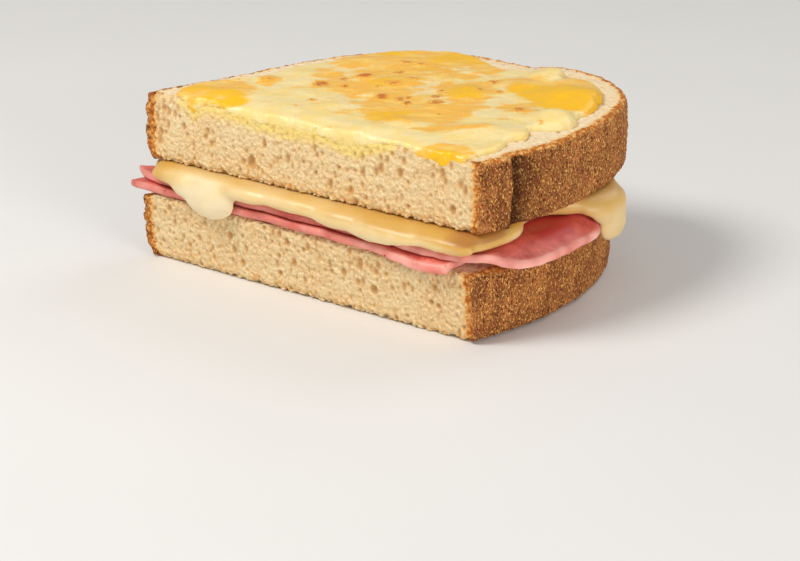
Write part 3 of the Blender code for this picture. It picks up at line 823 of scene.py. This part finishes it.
def bread(name, node, seed, large_holes, lower, material):
    """One slice: a cut face full of holes, a grained crust round the rest, and crumb on both flats."""
    ring, crust_line = slice_ring(LOWER_OUTLINE if lower else SLICE_OUTLINE)
    on_cut = np.arange(len(ring)) >= len(crust_line)
    places = margin_places(ring, crust_line, seed)
    faces = closed_slab(ring, WALL_ROWS, places)
    wall = wall_fields(ring, on_cut, crumb_holes(seed, large_holes), seed)

    from_crust = distance_to(places, crust_line[::3], closed=False)
    pits = np.clip(layered(places, 1.6, seed + 20, 3), 0, None)
    lip = (1 - smooth_step(from_crust, 0, 2.0)) * 0.3
    sunk = 0.15 + 0.8 * pits + lip
    foot = np.full(len(places), 0.02 if lower else 0.1)
    co = np.vstack([
        wall_places(wall, ring, crust_line, on_cut),
        np.column_stack([places, BREAD_THICKNESS - sunk]),
        np.column_stack([places, foot]),
    ])
    if lower:
        co = on_lower_slice(co)
    else:
        co[:, 2] += TOP_Z

    wall_gap = distance_to(ring, crust_line[::3], closed=False) + (0.5 + 0.5 * wall.at_left) * wall.spread
    flat_gap = from_crust - 1.5 + 0.8 * layered(places, 1.8, seed + 31, 3)
    top_edge = (1 - smooth_step(BREAD_THICKNESS - wall.z + 0.6 * wall.torn, 0.4, 1.6)) * ~on_cut
    wall_crust = np.where(on_cut, 1 - smooth_step(wall_gap, 0.2, 1.0), 1.0) * (1 - 0.9 * top_edge)
    toast = (1 - smooth_step(wall.z + 2 * wall.torn, 0, 6.0)) * 0.8 + 0.12
    # Each number on the wall and on the flats
    numbers = {
        # Painted shade, darkest in the deepest holes and pits
        "hole_shade": (0.85 * smooth_step(wall.pores, 0.08, 0.75), 0.6 * pits),
        "crust": (wall_crust, 0.5 * (1 - smooth_step(flat_gap, -0.2, 0.8))),
        "band": (1 - smooth_step(wall_gap, 1.6, 4.2), 1 - smooth_step(flat_gap, 0.3, 2.3)),
        "toast": (toast, 0),
        "soak": (0 if lower else soaked(wall, on_cut, soak_line()), 0),
        # Painted shade in the crease of the crust's fold, on the upper slice only
        "dark": (0 if lower else fold_shade(wall, on_cut), 0),
        "flat": (0, 1),
    }
    for key, (on_wall, on_flat) in numbers.items():
        on_wall = np.broadcast_to(on_wall, wall.x.shape).ravel()
        on_flat = np.broadcast_to(on_flat, len(places))
        numbers[key] = np.concatenate([on_wall, on_flat, on_flat])
    add_piece(name, co, faces, material, node, "crumb", **numbers)


# Melted topping

def drape(sheet, lift):
    """Places over the slice's top and its front edge, from sheet x, y and the height above the sheet."""
    x, v = sheet[:, 0], sheet[:, 1]
    along = np.column_stack([x, 0 * x])
    radius = np.clip(1.6 + 0.9 * noise(along, 8.0, 91) + 0.5 * noise(along, 2.8, 92), 0.8, 2.6)
    inset = 0.7 + 0.7 * noise(along, 6.0, 93) + 0.3 * noise(along, 2.2, 94)
    half = radius * math.pi / 4
    angle = np.clip((half - v) / radius, 0, math.pi / 2)
    y = np.where(v > half, v - half + radius, radius - radius * np.sin(angle))
    z = radius * np.cos(angle) - radius + np.where(v < -half, v + half, 0)
    y = y + (inset - lift) * np.sin(angle)
    return np.column_stack([x, y, TOPPING_Z + z + lift * np.cos(angle)])


def topping_lift(sheet, warp, small, deep, rim, middle):
    """The cheese's height above its sheet: flows, lobes and blisters, thin where it runs down the cut."""
    flow = 0.38 * layered(warp, 13.0, 31, 2) + 0.26 * layered(sheet, 5.0, 33, 2)
    gobs = np.zeros(len(sheet))
    for x, y, across, far, height in TOPPING_GOBS:
        a, b = turned(sheet + 0.3 * (warp - sheet), (x, y))
        q = (a / across) ** 2 + (b / far) ** 2
        gobs += (1.2 * height * np.clip(1 - q / 1.6, 0, None) ** 1.7) ** 3
    gobs = np.cbrt(gobs)
    crinkle = middle * 0.14 * np.abs(layered(sheet, 2.6, 41, 3))
    thin = 0.36 + 0.64 * smooth_step(sheet[:, 1], -0.5, 6.0)
    lift = rim * (TOPPING_HEIGHT + flow + crinkle) * thin + gobs * np.minimum(1, deep / 2.0) ** 0.7
    uneven = 0.16 * noise(sheet, 1.1, 43) + 0.6 * noise(sheet, 4.2, 44)
    lift += 0.12 * spot_field(small, BROWN_SPOTS, 0.45) + (1 - thin) * uneven
    return np.maximum(lift, 0.25 * rim)


def topping(material):
    """The melted cheese on top: rounded at its rim, with lobes, low flows and browned blisters."""
    ring = smooth_outline(TOPPING_OUTLINE, TOPPING_STEP)
    ring = ring + outward(ring) * (0.35 * noise(ring, 2.4, 5) + 0.15 * noise(ring, 1.0, 6))[:, None]
    places = scattered(ring, TOPPING_STEP, 7, 0.6)
    cap = triangles_of(ring, places)
    sheet = np.vstack([ring, places])
    count = len(ring)
    deep = distance_to(sheet, ring)
    deep[:count] = 0
    warp = sheet + 1.8 * np.column_stack([noise(sheet, 7.0, 21), noise(sheet, 7.0, 22)])
    small = sheet + 0.5 * np.column_stack([noise(sheet, 1.6, 23), noise(sheet, 1.6, 24)])
    middle = 1 - smooth_step(np.hypot(sheet[:, 0] - 4, sheet[:, 1] - 36), 18, 34)

    rim = np.sqrt(1 - (1 - np.clip(deep / TOPPING_RIM, 0, 1)) ** 2)
    lift = topping_lift(sheet, warp, small, deep, rim, middle)
    # Its rim and its underside are sunk into the crumb, deepest at the cut
    sink = np.where(sheet[:, 1] < 1.0, 1.5, 0.4)
    upper = drape(sheet, lift - (1 - rim) * sink)
    under = drape(sheet, -sink - 0.05)
    co = np.vstack([upper, under[count:]])
    lower_cap = np.where(cap < count, cap, cap + len(sheet) - count)[:, ::-1]
    faces = cap.tolist() + lower_cap.tolist()

    orange = spot_field(warp, ORANGE_SPOTS, 0.55) + 0.2 * layered(warp, 6.0, 51, 3) - 0.05
    numbers = {
        "orange": orange + 0.3 * middle,
        "gold": spot_field(warp, GOLD_SPOTS, 0.6),
        "brown": spot_field(small, BROWN_SPOTS, 1.0) + 0.16 * middle - 0.12,
    }
    numbers = {key: np.concatenate([value, value[count:]]) for key, value in numbers.items()}
    add_piece("topping", co, faces, material, "cheese_topping", "topping", **numbers)


# Ham and filling

def ham(name, node, outline, bottom, tip_lift, seed, material):
    """One thin slice with a rounded edge, which sags past the bread and ripples a little.

    The upper slice is the one whose tip, at the left, is lifted. It alone has painted shade: a band along
    its front under the cheese's lip, a patch at its right where it lies in shade, and more away from its
    rim.
    """
    ring = smooth_outline(outline, HAM_STEP)
    normal = outward(ring)
    ring = ring + normal * (0.25 * noise(ring, 3.0, seed))[:, None]
    places = scattered(ring[::2], HAM_INNER_STEP, seed, 0.7)
    angles = np.linspace(-math.pi / 2, math.pi / 2, HAM_EDGE_ROWS)
    faces = closed_slab(ring, len(angles), places)
    half = HAM_THICKNESS / 2
    walls = []
    for angle in angles:
        flat = ring + normal * (HAM_EDGE * (math.cos(angle) - 1))
        height = bottom + half + half * math.sin(angle)
        walls.append(np.column_stack([flat, np.full(len(ring), height)]))
    upper = np.column_stack([places, np.full(len(places), bottom + HAM_THICKNESS)])
    under = np.column_stack([places, np.full(len(places), bottom)])
    co = np.vstack(walls + [upper, under])
    inner = distance_to(places, ring[::2])
    deep = np.concatenate([np.zeros(len(ring) * len(angles)), inner, inner])
    upper_slice = tip_lift > 0
    co[:, 2] -= droop(co, EARLY_SAG if upper_slice else 0)
    outer = 1 - smooth_step(deep, 2, 9)
    co[:, 2] += outer * 0.28 * noise(co[:, :2], 9.0, 71)
    co[:, 2] += tip_lift * smooth_step(-co[:, 0], 52, 60)

    rim = (1 - smooth_step(deep, 0.2, 1.6)) * (0.55 + 0.45 * noise(co, 4.0, seed))
    rim = rim * (0.65 + 0.5 * smooth_step(co[:, 0], 5, 30))
    # Painted shade: a dark band along the front under the cheese's lip, a dark patch at the right where the
    # ham lies in shade, and darkening away from the rim
    shade = 1 - smooth_step(np.abs(co[:, 1] + 1.0), 0.5, 2.2)
    dark = shade * 0.6 * smooth_step(noise(co, 11.0, seed + 1), -0.5, 0.6)
    away = np.hypot(co[:, 0] - 52.5, (co[:, 1] - 28) / 1.5)
    patch = 1 - smooth_step(away + 1.5 * noise(co, 3.0, seed), 2.5, 6.5)
    dark = np.maximum(dark, 0.9 * patch) + 0.38 * smooth_step(deep, 1.5, 6.0)
    dark = dark if upper_slice else 0 * dark
    add_piece(name, co, faces, material, node, "ham", rim=np.clip(rim, 0, 1), dark=dark)


def finer_solid(node, voxel, smoothings):
    """The frame's own solid, made finer and smoother: its places in mm, their normals and its faces."""
    holder = bpy.data.objects.new("fine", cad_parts[node].data.copy())
    bpy.context.scene.collection.objects.link(holder)
    fine = holder.modifiers.new("Fine", "REMESH")
    fine.voxel_size = voxel * MM
    soft = holder.modifiers.new("Soft", "SMOOTH")
    soft.factor, soft.iterations = 0.5, smoothings
    evaluated = holder.evaluated_get(bpy.context.evaluated_depsgraph_get())
    mesh = bpy.data.meshes.new_from_object(evaluated)
    bpy.data.objects.remove(holder)
    co, normal = np.empty((2, len(mesh.vertices) * 3))
    mesh.vertices.foreach_get("co", co)
    mesh.vertices.foreach_get("normal", normal)
    faces = [list(p.vertices) for p in mesh.polygons]
    bpy.data.meshes.remove(mesh)
    return co.reshape(-1, 3) / MM - ORIGIN, normal.reshape(-1, 3), faces


def filling(material):
    """The cheese between the slices, with painted shade in amber near the upper slice, at its ends and on
    its flap, pale in its drip.
    """
    co, normal, faces = finer_solid("cheese_filling", FILLING_STEP, 14)
    co = co + normal * (0.12 + 0.12 * layered(co, 5.0, 81, 2))[:, None]
    co[:, 2] = np.minimum(co[:, 2], TOP_Z - 0.05)
    x, y, z = co.T
    # Painted shade: amber near the upper slice, at both ends and on the flap, where the cheese lies in the
    # bread's shade
    high = smooth_step(z + 1.4 * smooth_step(x, -15, 15), 25.9, 27.7)
    at_left = 1 - smooth_step(x, -47, -38)
    at_right = smooth_step(x, 36, 48) * (1 - smooth_step(y, 6, 12))
    at_flap = smooth_step(y, 22, 36)
    share = 0.45 + 0.55 * smooth_step(x, 0, 28)
    amber = share * high + 0.8 * at_left + 0.8 * at_right + 0.2 * layered(co, 7.0, 83, 2)
    tail = 1 - smooth_step(z, 20.5, 25.0)
    amber = np.clip(amber * (1 - at_flap) + (0.75 - 0.5 * tail) * at_flap, 0, 2)
    drip = 1 - smooth_step(np.hypot(x + 31, (z - 20.5) * 1.2), 4, 12)
    foot = 1 - smooth_step(z, 22.0, 24.6)
    pale = np.clip(0.8 * drip + 0.6 * foot, 0, 1) * (1 - 0.5 * at_flap)
    add_piece("filling", co, faces, material, "cheese_filling", "filling", amber=amber, pale=pale)


# Stage, light and camera

def floor():
    mesh = bpy.data.meshes.new("floor")
    signs = ((-1, -1), (1, -1), (1, 1), (-1, 1))
    corners = [(a * FLOOR_REACH, b * FLOOR_REACH, FLOOR_Z) for a, b in signs]
    mesh.from_pydata(corners, [], [(0, 1, 2, 3)])
    material, tree, shader = new_material("floor", Roughness=0.7)
    colour = mixed(tree, cloud(tree, 60.0, 2.0), (0.80, 0.79, 0.77), (0.83, 0.82, 0.80))
    tree.links.new(colour, shader.inputs["Base Color"])
    mesh.materials.append(material)
    made = bpy.data.objects.new("floor", mesh)
    bpy.context.scene.collection.objects.link(made)


def lights():
    for name, place, size, power, colour in LIGHTS:
        data = bpy.data.lights.new(name, "AREA")
        data.shape = "DISK"
        data.size = size
        data.energy = power
        data.color = colour
        made = bpy.data.objects.new(name, data)
        made.location = place
        aim = Vector(LIGHT_TARGET) - Vector(place)
        made.rotation_euler = aim.to_track_quat("-Z", "Y").to_euler()
        bpy.context.scene.collection.objects.link(made)
    world = bpy.data.worlds.new("studio")
    world.use_nodes = True
    background = world.node_tree.nodes["Background"]
    background.inputs["Color"].default_value = WORLD_COLOUR
    background.inputs["Strength"].default_value = WORLD_STRENGTH
    bpy.context.scene.world = world
    bpy.context.scene.view_settings.view_transform = "Standard"


def camera():
    data = bpy.data.cameras.new("camera")
    data.lens = CAMERA_LENS
    data.sensor_width = CAMERA_SENSOR
    made = bpy.data.objects.new("camera", data)
    made.location = (CAMERA_PLACE + ORIGIN) * MM
    made.rotation_euler = (math.pi / 2 - VIEW_ELEVATION, 0, VIEW_AZIMUTH)
    bpy.context.scene.collection.objects.link(made)
    bpy.context.scene.camera = made


def main():
    cut_bread = bread_material()
    bread("slice_top", "bread_top", 8, TOP_HOLES, False, cut_bread)
    bread("slice_bottom", "bread_bottom", 3, LOWER_HOLES, True, cut_bread)
    topping(topping_material())
    pink = ham_material()
    ham("ham_lower_slice", "ham_lower", HAM_LOWER_OUTLINE, HAM_LOWER_Z, 0.0, 5, pink)
    ham("ham_upper_slice", "ham_upper", HAM_UPPER_OUTLINE, HAM_UPPER_Z, 0.8, 6, pink)
    filling(filling_material())
    floor()
    lights()
    camera()


main()
